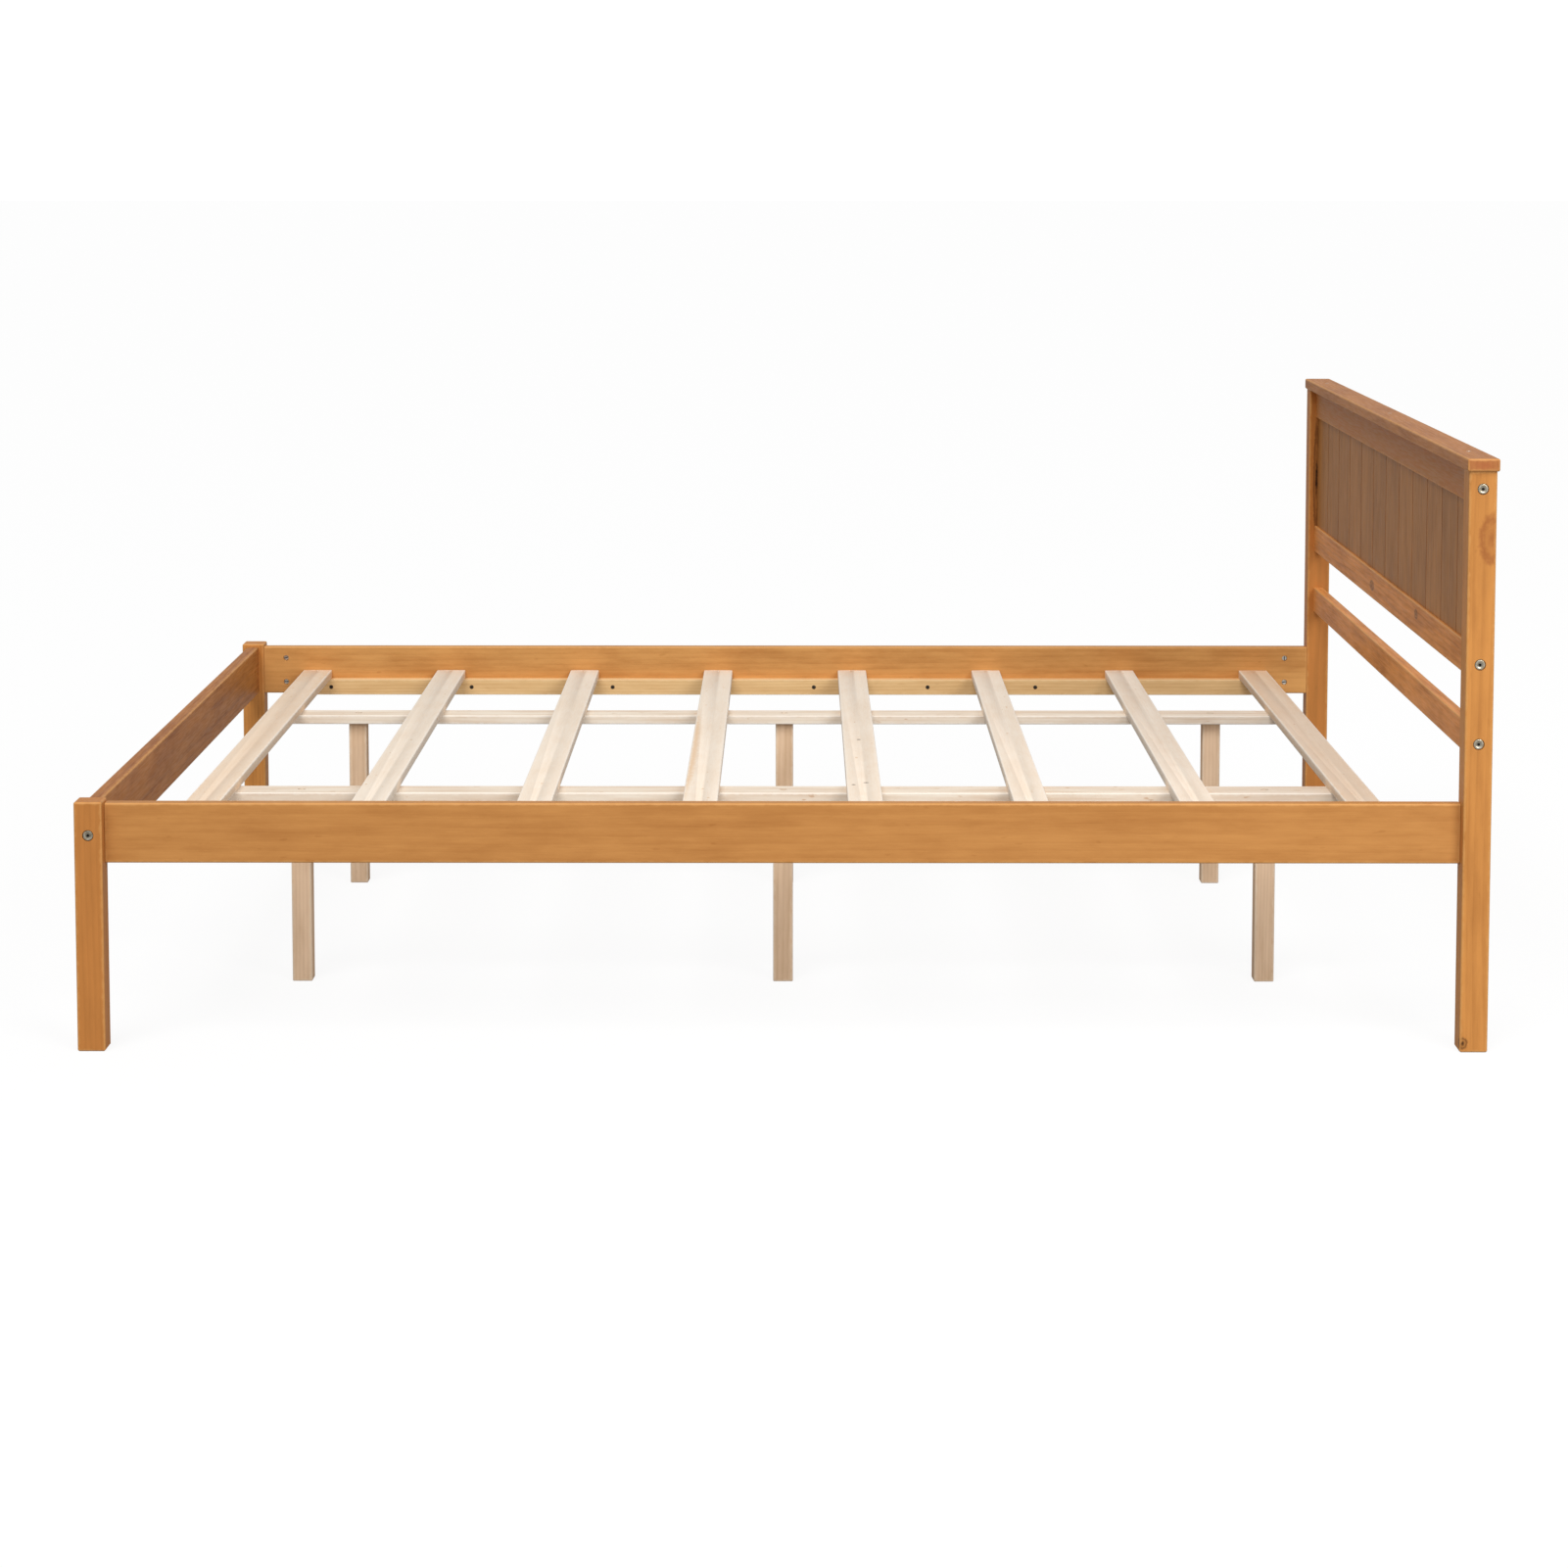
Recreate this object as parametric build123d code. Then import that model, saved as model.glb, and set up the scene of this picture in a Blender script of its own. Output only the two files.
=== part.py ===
from build123d import *
import os

# A knock-down bed frame in solid softwood. Lengths are millimetres. +X runs from the foot to the
# head, +Z is up, and the origin is on the floor in the middle of the overall box. Left (+Y) and
# right (-Y) are as seen from the foot of the bed. Nothing moves: rails are bolted to the posts
# through barrel nuts, and cleats, slats, beams, legs and the cap are screwed on.

# ---- Sleeping area ---------------------------------------------------------------------------
mattress_length = 2032.0
mattress_width = 1524.0
mattress_side_play = 10.0

# ---- Posts -----------------------------------------------------------------------------------
post_side = 42.0
head_post_height = 876.0
foot_post_height = 379.0
post_edge_radius = 3.0
post_foot_chamfer = 2.0

# ---- Side rails and foot rail ----------------------------------------------------------------
rail_thickness = 22.0
rail_height = 91.0
rail_top_height = 374.0
rail_edge_radius = 3.0
rail_end_radius = 1.5

# ---- Headboard -------------------------------------------------------------------------------
cap_thickness = 19.0
cap_overhang = 3.0
cap_end_overhang = 5.0
cap_edge_radius = 3.0
headboard_rail_thickness = 18.0
top_rail_height = 53.0
bottom_rail_height = 50.0
bottom_rail_base = 562.0
lower_rail_height = 47.0
lower_rail_base = 444.0
headboard_rail_radius = 2.0

# Tongue-and-groove boards, held at both ends in a groove along the rails
board_count = 12
board_thickness = 8.0
board_end_in_groove = 8.0
board_vee = 2.0
tongue_length = 4.5
tongue_thickness = 2.6

# ---- Slat support ----------------------------------------------------------------------------
cleat_thickness = 20.0
cleat_height = 30.0
cleat_end_gap = 73.0
slat_count = 8
slat_width = 55.0
slat_thickness = 15.5
end_slat_inset = 105.0
beam_width = 60.0
beam_thickness = 16.0
beam_spacing = 735.0
beam_past_end_slat = 20.0
leg_side = 32.0
small_edge_radius = 2.0
fine_edge_radius = 1.0

# ---- Fasteners -------------------------------------------------------------------------------
bolt_diameter = 6.0
bolt_head_diameter = 15.0
bolt_head_thickness = 3.0
bolt_head_recess = 1.0
hex_socket = 4.0
hex_socket_depth = 2.2
nut_diameter = 10.0
nut_length = 16.0
nut_slot_width = 1.6
nut_slot_depth = 1.5
nut_from_rail_end = 43.0
bolt_past_nut = 9.0
rail_bolt_spacing = 47.0
leg_bolt_bite = 50.0
leg_bolt_head_diameter = 11.0
leg_bolt_head_recess = 5.0
dowel_diameter = 8.0
dowel_length = 30.0
foot_rail_dowel_offset = 36.0
headboard_dowel_offset = 15.0
screw_diameter = 4.0
screw_head_diameter = 8.0
screw_point = 4.0
screw_tip_diameter = 0.4
cross_recess_length = 4.4
cross_recess_width = 1.1
cross_recess_depth = 1.3
slat_screw_from_end = 10.0
slat_screw_bite = 17.0
cleat_screw_bite = 15.0
beam_screw_bite = 9.0
cap_screw_bite = 26.0
cap_screw_from_post = 74.0
# How far each cleat screw is driven from the middle of its gap between two slats, from the foot to
# the head, as a share of the distance from slat to slat
cleat_screw_shifts = (-0.392, -0.342, -0.288, 0.215, 0.065, -0.131, 0.461)

# ---- Clearances ------------------------------------------------------------------------------
slat_end_clearance = 1.0
board_joint_gap = 0.4
board_side_gap = 0.5
board_face_clearance = 0.2
board_end_clearance = 1.0
tongue_clearance = 0.2
tongue_end_clearance = 0.6
bolt_clearance = 0.3
bolt_head_clearance = 1.0
bolt_tip_clearance = 3.0
nut_clearance = 0.2
thread_clearance = 0.05
dowel_clearance = 0.05
dowel_end_clearance = 1.0

# ---- Places worked out from the sizes --------------------------------------------------------
overall_length = post_side + mattress_length + post_side + cap_overhang
foot_face = -overall_length / 2
foot_inner = foot_face + post_side
head_inner = foot_inner + mattress_length
head_face = head_inner + post_side
foot_post_x = (foot_face + foot_inner) / 2
head_post_x = (head_inner + head_face) / 2
middle_x = (foot_inner + head_inner) / 2

inner_half = mattress_width / 2 + mattress_side_play
outer_half = inner_half + post_side
post_y = (inner_half + outer_half) / 2
side_rail_y = inner_half + rail_thickness / 2

rail_base_height = rail_top_height - rail_height
rail_middle_height = rail_top_height - rail_height / 2
cleat_top = rail_base_height + cleat_height
slat_top = cleat_top + slat_thickness
beam_base = cleat_top - beam_thickness
top_rail_base = head_post_height - top_rail_height
bottom_rail_top = bottom_rail_base + bottom_rail_height
bolt_counterbore = bolt_head_thickness + bolt_head_recess

slat_pitch = (mattress_length - 2 * end_slat_inset) / (slat_count - 1)
slat_places = [foot_inner + end_slat_inset + n * slat_pitch for n in range(slat_count)]
gap_places = [x + slat_pitch / 2 for x in slat_places[:-1]]
leg_places = {"foot": gap_places[0], "middle": middle_x, "head": gap_places[-1]}

sides = {"left": 1, "right": -1}
along_x = Vector(1, 0, 0)
along_y = Vector(0, 1, 0)
up = Vector(0, 0, 1)


# ---- Stock and holes -------------------------------------------------------------------------
def bar(corner, opposite):
    """A rectangular bar between two opposite corners, given in any order."""
    size = [abs(b - a) for a, b in zip(corner, opposite)]
    centre = [(a + b) / 2 for a, b in zip(corner, opposite)]
    return Pos(*centre) * Box(*size)


def eased_bar(corner, opposite, grain, long_radius, end_radius=0.0):
    """A bar with its edges along the grain axis rounded over, and its end edges too if asked."""
    body = bar(corner, opposite)
    body = fillet(body.edges().filter_by(grain), long_radius)
    if end_radius:
        end_faces = body.faces().filter_by(grain)
        body = fillet(end_faces.edges(), end_radius)
    return body


def rod(start, direction, diameter, length):
    """A round bar that begins at start and runs along direction."""
    return Plane(start, z_dir=direction) * Cylinder(
        diameter / 2, length, align=(Align.CENTER, Align.CENTER, Align.MIN)
    )


def drilled(body, tools):
    """The body with every tool cut out of it."""
    for tool in tools:
        body = body - tool
    return body


def group(solids):
    """Separate solids of one kind, kept together as one node."""
    return Compound(children=list(solids))


# ---- Bolt and barrel nut ---------------------------------------------------------------------
# A bolted joint is (point, inward, nut_way, half_rail). The point is where the bolt's axis leaves
# the post's outer face, inward runs along the bolt, nut_way points from the nut to the rail face
# that it was put in through, and half_rail is half of that rail's thickness.
def bolt_seat(joint):
    point, inward, nut_way, half_rail = joint
    return point + inward * bolt_counterbore


def nut_centre(joint):
    point, inward, nut_way, half_rail = joint
    return point + inward * (post_side + nut_from_rail_end)


def bolt_length():
    return post_side - bolt_counterbore + nut_from_rail_end + bolt_past_nut


def bolt(joint):
    """Flat-head bolt with a hexagon socket. Its head sits on the counterbore's floor."""
    point, inward, nut_way, half_rail = joint
    seat = bolt_seat(joint)
    head = rod(seat, -inward, bolt_head_diameter, bolt_head_thickness)
    shank = rod(seat, inward, bolt_diameter, bolt_length())
    outer = Plane(seat - inward * bolt_head_thickness, z_dir=inward)
    socket = extrude(outer * RegularPolygon(hex_socket / 2, 6, major_radius=False), hex_socket_depth)
    return head + shank - socket


def barrel_nut(joint):
    """Cross nut in the rail's thickness, with a driver slot in the end that shows."""
    point, inward, nut_way, half_rail = joint
    centre = nut_centre(joint)
    show_end = centre + nut_way * (nut_length / 2)
    body = rod(show_end, -nut_way, nut_diameter, nut_length)
    thread_start = centre - inward * nut_diameter
    body -= rod(thread_start, inward, bolt_diameter + 2 * thread_clearance, 2 * nut_diameter)
    slot = Box(nut_diameter, nut_slot_width, 2 * nut_slot_depth)
    return body - Plane(show_end, x_dir=inward, z_dir=nut_way) * slot


def bolt_hole(joint):
    """Counterbore, bolt hole through the post into the rail, and the nut's cross hole."""
    point, inward, nut_way, half_rail = joint
    head_hole = bolt_head_diameter + 2 * bolt_head_clearance
    counterbore = rod(point - inward * bolt_counterbore, inward, head_hole, 2 * bolt_counterbore)
    depth = bolt_counterbore + bolt_length() + bolt_tip_clearance
    shank_hole = rod(point, inward, bolt_diameter + 2 * bolt_clearance, depth)
    floor = nut_centre(joint) - nut_way * (nut_length / 2)
    nut_depth = nut_length / 2 + half_rail + rail_edge_radius
    nut_hole = rod(floor, nut_way, nut_diameter + 2 * nut_clearance, nut_depth)
    return counterbore + shank_hole + nut_hole


def side_rail_joints(end, side):
    """Two bolts, one above the other, from the post's end face into the end of a side rail."""
    face, inward = {"foot": (foot_face, along_x), "head": (head_face, -along_x)}[end]
    nut_way = -along_y * side
    return [
        (Vector(face, side * side_rail_y, rail_middle_height + up_or_down * rail_bolt_spacing / 2),
         inward, nut_way, rail_thickness / 2)
        for up_or_down in (1, -1)
    ]


def foot_rail_joint(side):
    """One bolt from the post's side face into the end of the foot rail."""
    point = Vector(foot_post_x, side * outer_half, rail_middle_height)
    return (point, -along_y * side, along_x, rail_thickness / 2)


def headboard_joints(side):
    """One bolt through the head post into the end of each of the three headboard rails."""
    heights = (
        head_post_height - top_rail_height / 2,
        bottom_rail_base + bottom_rail_height / 2,
        lower_rail_base + lower_rail_height / 2,
    )
    return [
        (Vector(head_post_x, side * outer_half, height), -along_y * side, along_x,
         headboard_rail_thickness / 2)
        for height in heights
    ]


# ---- Dowels ----------------------------------------------------------------------------------
def dowel(centre):
    """Fluteless beech dowel lying along Y, half in the post and half in the rail."""
    start = centre - along_y * (dowel_length / 2)
    return chamfer(rod(start, along_y, dowel_diameter, dowel_length).edges(), fine_edge_radius)


def dowel_hole(centre):
    depth = dowel_length + 2 * dowel_end_clearance
    start = centre - along_y * (depth / 2)
    return rod(start, along_y, dowel_diameter + 2 * dowel_clearance, depth)


def foot_rail_dowels(side):
    return [
        Vector(foot_post_x, side * inner_half, rail_middle_height + offset)
        for offset in (-foot_rail_dowel_offset, foot_rail_dowel_offset)
    ]


def headboard_dowels(side):
    """One beside each bolt, away from the board groove, and two in the lower rail."""
    top = head_post_height - top_rail_height / 2 + headboard_dowel_offset
    bottom = bottom_rail_base + bottom_rail_height / 2 - headboard_dowel_offset
    lower = lower_rail_base + lower_rail_height / 2
    heights = (top, bottom, lower + headboard_dowel_offset, lower - headboard_dowel_offset)
    return [Vector(head_post_x, side * inner_half, height) for height in heights]


# ---- Screws ----------------------------------------------------------------------------------
# A screw is (point, inward, length). The point is on the face that its countersunk head is flush
# with, and inward runs from the head to the tip.
def screw_cone():
    return (screw_head_diameter - screw_diameter) / 2


def countersink(point, inward):
    return Plane(point, z_dir=inward) * Cone(
        screw_head_diameter / 2, screw_diameter / 2, screw_cone(),
        align=(Align.CENTER, Align.CENTER, Align.MIN),
    )


def wood_screw(screw):
    """Countersunk wood screw with a cross recess. The thread is left plain."""
    point, inward, length = screw
    face = Plane(point, z_dir=inward)
    shank = rod(point + inward * screw_cone(), inward, screw_diameter, length - screw_cone() - screw_point)
    tip = Plane(point + inward * (length - screw_point), z_dir=inward) * Cone(
        screw_diameter / 2, screw_tip_diameter / 2, screw_point,
        align=(Align.CENTER, Align.CENTER, Align.MIN),
    )
    body = countersink(point, inward) + shank + tip
    for recess in (
        Box(cross_recess_length, cross_recess_width, 2 * cross_recess_depth),
        Box(cross_recess_width, cross_recess_length, 2 * cross_recess_depth),
    ):
        body -= face * recess
    return body


def screw_hole(screw):
    point, inward, length = screw
    pilot = rod(point, inward, screw_diameter + 2 * thread_clearance, length + thread_clearance)
    return countersink(point, inward) + pilot


def slat_screws(side):
    y = side * (inner_half - slat_end_clearance - slat_screw_from_end)
    return [(Vector(x, y, slat_top), -up, slat_thickness + slat_screw_bite) for x in slat_places]


def cleat_screws(side):
    y = side * (inner_half - cleat_thickness)
    z = rail_base_height + cleat_height / 2
    return [
        (Vector(x + shift * slat_pitch, y, z), along_y * side, cleat_thickness + cleat_screw_bite)
        for x, shift in zip(gap_places, cleat_screw_shifts)
    ]


def beam_screws(side):
    y = side * beam_spacing / 2
    return [(Vector(x, y, beam_base), up, beam_thickness + beam_screw_bite) for x in slat_places]


def cap_screws():
    reach = inner_half - cap_screw_from_post
    top = head_post_height + cap_thickness
    return [
        (Vector(head_post_x, y, top), -up, cap_thickness + cap_screw_bite)
        for y in (-reach, 0.0, reach)
    ]


# ---- Leg bolts -------------------------------------------------------------------------------
def leg_bolt(x, side):
    """Coach bolt with a hexagon socket, from the beam's counterbored top into the leg's end."""
    seat = Vector(x, side * beam_spacing / 2, cleat_top - leg_bolt_head_recess - bolt_head_thickness)
    head = rod(seat, up, leg_bolt_head_diameter, bolt_head_thickness)
    shank = rod(seat, -up, bolt_diameter, seat.Z - beam_base + leg_bolt_bite)
    outer = Plane(seat + up * bolt_head_thickness, z_dir=-up)
    socket = extrude(outer * RegularPolygon(hex_socket / 2, 6, major_radius=False), hex_socket_depth)
    return head + shank - socket


def leg_bolt_hole(x, side):
    seat = Vector(x, side * beam_spacing / 2, cleat_top - leg_bolt_head_recess - bolt_head_thickness)
    head_hole = leg_bolt_head_diameter + 2 * bolt_head_clearance
    counterbore = rod(seat, up, head_hole, beam_thickness)
    depth = seat.Z - beam_base + leg_bolt_bite + bolt_tip_clearance
    return counterbore + rod(seat, -up, bolt_diameter + 2 * thread_clearance, depth)


# ---- Posts -----------------------------------------------------------------------------------
def post(x, side, height):
    body = bar(
        (x - post_side / 2, side * inner_half, 0.0),
        (x + post_side / 2, side * outer_half, height),
    )
    body = fillet(body.edges().filter_by(Axis.Z), post_edge_radius)
    return chamfer(body.faces().sort_by(Axis.Z)[0].edges(), post_foot_chamfer)


def foot_post(side):
    body = post(foot_post_x, side, foot_post_height)
    body = fillet(body.faces().sort_by(Axis.Z)[-1].edges(), post_edge_radius)
    body = drilled(body, map(bolt_hole, side_rail_joints("foot", side) + [foot_rail_joint(side)]))
    return drilled(body, map(dowel_hole, foot_rail_dowels(side)))


def head_post(side):
    body = post(head_post_x, side, head_post_height)
    body = drilled(body, map(bolt_hole, side_rail_joints("head", side) + headboard_joints(side)))
    return drilled(body, map(dowel_hole, headboard_dowels(side)))


# ---- Rails -----------------------------------------------------------------------------------
def side_rail(side):
    """It butts between the posts, with its inner face flush with theirs."""
    body = eased_bar(
        (foot_inner, side * inner_half, rail_base_height),
        (head_inner, side * (inner_half + rail_thickness), rail_top_height),
        Axis.X, rail_edge_radius, rail_end_radius,
    )
    joints = side_rail_joints("foot", side) + side_rail_joints("head", side)
    return drilled(drilled(body, map(bolt_hole, joints)), map(screw_hole, cleat_screws(side)))


def cross_rail(x, thickness, base, height, radius):
    """A rail between the two posts of one end, in the middle of their thickness."""
    return eased_bar(
        (x - thickness / 2, -inner_half, base), (x + thickness / 2, inner_half, base + height),
        Axis.Y, radius,
    )


def foot_rail():
    body = cross_rail(foot_post_x, rail_thickness, rail_base_height, rail_height, rail_edge_radius)
    for side in sides.values():
        body = drilled(body, [bolt_hole(foot_rail_joint(side))])
        body = drilled(body, map(dowel_hole, foot_rail_dowels(side)))
    return body


def headboard_rail(level, base, height):
    """Rail number level of the headboard, counted down from the cap."""
    body = cross_rail(head_post_x, headboard_rail_thickness, base, height, headboard_rail_radius)
    for side in sides.values():
        body = drilled(body, [bolt_hole(headboard_joints(side)[level])])
        body = drilled(body, map(dowel_hole, headboard_dowels(side)))
    return body


def board_groove(low, high):
    half = board_thickness / 2 + board_face_clearance
    return bar((head_post_x - half, -inner_half, low), (head_post_x + half, inner_half, high))


def headboard_top_rail():
    groove_top = top_rail_base + board_end_in_groove + board_end_clearance
    groove = board_groove(top_rail_base - headboard_rail_radius, groove_top)
    body = headboard_rail(0, top_rail_base, top_rail_height) - groove
    return drilled(body, map(screw_hole, cap_screws()))


def headboard_bottom_rail():
    groove_base = bottom_rail_top - board_end_in_groove - board_end_clearance
    groove = board_groove(groove_base, bottom_rail_top + headboard_rail_radius)
    return headboard_rail(1, bottom_rail_base, bottom_rail_height) - groove


def headboard_lower_rail():
    return headboard_rail(2, lower_rail_base, lower_rail_height)


def headboard_cap():
    half_width = post_side / 2 + cap_overhang
    half_length = outer_half + cap_end_overhang
    body = eased_bar(
        (head_post_x - half_width, -half_length, head_post_height),
        (head_post_x + half_width, half_length, head_post_height + cap_thickness),
        Axis.Y, cap_edge_radius, cap_edge_radius,
    )
    return drilled(body, map(screw_hole, cap_screws()))


# ---- Headboard boards ------------------------------------------------------------------------
def headboard_board(number):
    """Board number of board_count, from the right: a groove on its right edge, a tongue on its left."""
    pitch = (2 * inner_half - 2 * board_side_gap + board_joint_gap) / board_count
    right = -inner_half + board_side_gap + number * pitch
    left = right + pitch - board_joint_gap
    base = bottom_rail_top - board_end_in_groove
    top = top_rail_base + board_end_in_groove
    front = head_post_x - board_thickness / 2
    body = bar((front, right, base), (front + board_thickness, left, top))
    body = chamfer(body.edges().filter_by(Axis.Z).group_by(Axis.X)[0], board_vee)
    if number > 0:
        half = tongue_thickness / 2 + tongue_clearance
        depth = tongue_length - board_joint_gap + tongue_end_clearance
        body -= bar((head_post_x - half, right, base), (head_post_x + half, right + depth, top))
    if number < board_count - 1:
        half = tongue_thickness / 2
        body += bar((head_post_x - half, left, base), (head_post_x + half, left + tongue_length, top))
    return body


# ---- Slat support ----------------------------------------------------------------------------
def slat_cleat(side):
    """Square-edged batten that carries the slat ends, level with the bottom of the side rail."""
    body = eased_bar(
        (foot_inner + cleat_end_gap, side * (inner_half - cleat_thickness), rail_base_height),
        (head_inner - cleat_end_gap, side * inner_half, cleat_top),
        Axis.X, fine_edge_radius,
    )
    body = drilled(body, map(screw_hole, cleat_screws(side)))
    return drilled(body, map(screw_hole, slat_screws(side)))


def slat(x):
    half_length = inner_half - slat_end_clearance
    body = eased_bar(
        (x - slat_width / 2, -half_length, cleat_top), (x + slat_width / 2, half_length, slat_top),
        Axis.Y, small_edge_radius, fine_edge_radius,
    )
    for side in sides.values():
        screws = [s for s in slat_screws(side) + beam_screws(side) if s[0].X == x]
        body = drilled(body, map(screw_hole, screws))
    return body


def centre_beam(side):
    """Flat beam under the slats, from under the first slat to under the last."""
    y = side * beam_spacing / 2
    body = eased_bar(
        (slat_places[0] - beam_past_end_slat, y - beam_width / 2, beam_base),
        (slat_places[-1] + beam_past_end_slat, y + beam_width / 2, cleat_top),
        Axis.X, small_edge_radius,
    )
    body = drilled(body, map(screw_hole, beam_screws(side)))
    return drilled(body, [leg_bolt_hole(x, side) for x in leg_places.values()])


def support_leg(x, side):
    y = side * beam_spacing / 2
    body = eased_bar(
        (x - leg_side / 2, y - leg_side / 2, 0.0), (x + leg_side / 2, y + leg_side / 2, beam_base),
        Axis.Z, small_edge_radius,
    )
    return body - leg_bolt_hole(x, side)


# ---- Every piece by its node name ------------------------------------------------------------
def all_pieces():
    pieces = {
        "headboard_cap": headboard_cap(),
        "headboard_top_rail": headboard_top_rail(),
        "headboard_bottom_rail": headboard_bottom_rail(),
        "headboard_lower_rail": headboard_lower_rail(),
        "foot_rail": foot_rail(),
        "cap_screws": group(map(wood_screw, cap_screws())),
    }
    for number in range(board_count):
        pieces[f"headboard_board_{number + 1:02d}"] = headboard_board(number)
    for number, x in enumerate(slat_places, start=1):
        pieces[f"slat_{number}"] = slat(x)

    foot_dowels, head_dowels, rail_joints, foot_joints, head_joints = [], [], [], [], []
    screws = {"cleat_screws": [], "slat_screws": [], "beam_screws": []}
    leg_bolts = []
    for hand, side in sides.items():
        pieces[f"foot_post_{hand}"] = foot_post(side)
        pieces[f"head_post_{hand}"] = head_post(side)
        pieces[f"side_rail_{hand}"] = side_rail(side)
        pieces[f"slat_cleat_{hand}"] = slat_cleat(side)
        pieces[f"centre_beam_{hand}"] = centre_beam(side)
        for place, x in leg_places.items():
            pieces[f"support_leg_{hand}_{place}"] = support_leg(x, side)
            leg_bolts.append(leg_bolt(x, side))
        rail_joints += side_rail_joints("foot", side) + side_rail_joints("head", side)
        foot_joints.append(foot_rail_joint(side))
        head_joints += headboard_joints(side)
        foot_dowels += foot_rail_dowels(side)
        head_dowels += headboard_dowels(side)
        screws["cleat_screws"] += cleat_screws(side)
        screws["slat_screws"] += slat_screws(side)
        screws["beam_screws"] += beam_screws(side)

    joints = {"side_rail": rail_joints, "foot_rail": foot_joints, "headboard": head_joints}
    for where, placed in joints.items():
        pieces[f"{where}_bolts"] = group(map(bolt, placed))
        pieces[f"{where}_barrel_nuts"] = group(map(barrel_nut, placed))
    for name, placed in screws.items():
        pieces[name] = group(map(wood_screw, placed))
    pieces["foot_rail_dowels"] = group(map(dowel, foot_dowels))
    pieces["headboard_dowels"] = group(map(dowel, head_dowels))
    pieces["leg_bolts"] = group(leg_bolts)
    return pieces


os.makedirs("parts", exist_ok=True)
for name, piece in all_pieces().items():
    export_step(piece, f"parts/{name}.step")
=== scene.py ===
from math import cos, pi, radians, sin

import bmesh
import bpy
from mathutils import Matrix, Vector


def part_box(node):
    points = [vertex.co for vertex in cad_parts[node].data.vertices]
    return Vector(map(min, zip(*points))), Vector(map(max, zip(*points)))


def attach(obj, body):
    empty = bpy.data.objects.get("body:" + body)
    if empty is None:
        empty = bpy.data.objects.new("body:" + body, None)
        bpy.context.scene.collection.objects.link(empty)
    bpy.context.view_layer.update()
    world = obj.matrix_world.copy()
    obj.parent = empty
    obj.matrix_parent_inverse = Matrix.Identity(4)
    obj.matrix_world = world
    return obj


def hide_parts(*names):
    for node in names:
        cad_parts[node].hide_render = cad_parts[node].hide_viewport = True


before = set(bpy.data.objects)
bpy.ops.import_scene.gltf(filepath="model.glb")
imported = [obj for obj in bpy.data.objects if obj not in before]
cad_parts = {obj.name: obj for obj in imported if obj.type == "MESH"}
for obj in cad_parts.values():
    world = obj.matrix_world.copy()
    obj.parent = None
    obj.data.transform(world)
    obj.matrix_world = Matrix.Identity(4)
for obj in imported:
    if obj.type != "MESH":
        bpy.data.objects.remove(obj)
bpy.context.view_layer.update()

scene = bpy.context.scene
mm = 0.001

# ---- Posts -----------------------------------------------------------------------------------
# Four square posts of solid pine, two short at the foot and two tall at the head. Each is planed,
# its edges eased, then stained honey and lacquered satin. The grain runs up the post.


def add(tree, kind, inputs=(), **settings):
    """A new node with its settings made and its inputs fed from numbers or other nodes' sockets."""
    node = tree.nodes.new(kind)
    for key, value in settings.items():
        setattr(node, key, value)
    for key, value in dict(inputs).items():
        if isinstance(value, bpy.types.NodeSocket):
            tree.links.new(value, node.inputs[key])
        else:
            node.inputs[key].default_value = value
    return node


def sum_of(tree, operation, *values, clamp=False):
    """One maths node. Its output is returned."""
    node = add(tree, "ShaderNodeMath", dict(enumerate(values)), operation=operation, use_clamp=clamp)
    return node.outputs[0]


def vector_of(tree, operation, *values):
    """One vector maths node. Its vector output is returned."""
    node = add(tree, "ShaderNodeVectorMath", dict(enumerate(values)), operation=operation)
    return node.outputs["Value" if operation == "LENGTH" else "Vector"]


def blend_of(tree, share, first, second, mode="MIX"):
    """One colour mix, from first at 0 to second at 1. Its colour is returned."""
    node = add(tree, "ShaderNodeMix", {0: share, 6: first, 7: second}, data_type="RGBA", blend_type=mode)
    return node.outputs[2]


def ramp_of(tree, value, low, high):
    """Smooth step of a value from 0 at low to 1 at high."""
    inputs = {"Value": value, "From Min": low, "From Max": high}
    node = add(tree, "ShaderNodeMapRange", inputs, interpolation_type="SMOOTHSTEP")
    return node.outputs["Result"]


def shader_group(name, inputs, outputs):
    """An empty shader group with its sockets. Returns the tree, its input node and its output node."""
    tree = bpy.data.node_groups.new(name, "ShaderNodeTree")
    kinds = {float: "NodeSocketFloat", tuple: "NodeSocketColor", Vector: "NodeSocketVector"}
    for label, value in inputs.items():
        kind = kinds[type(value)]
        socket = tree.interface.new_socket(label, in_out="INPUT", socket_type=kind)
        socket.default_value = value
    for label, kind in outputs.items():
        tree.interface.new_socket(label, in_out="OUTPUT", socket_type=kinds[kind])
    return tree, tree.nodes.new("NodeGroupInput").outputs, tree.nodes.new("NodeGroupOutput").inputs


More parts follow.
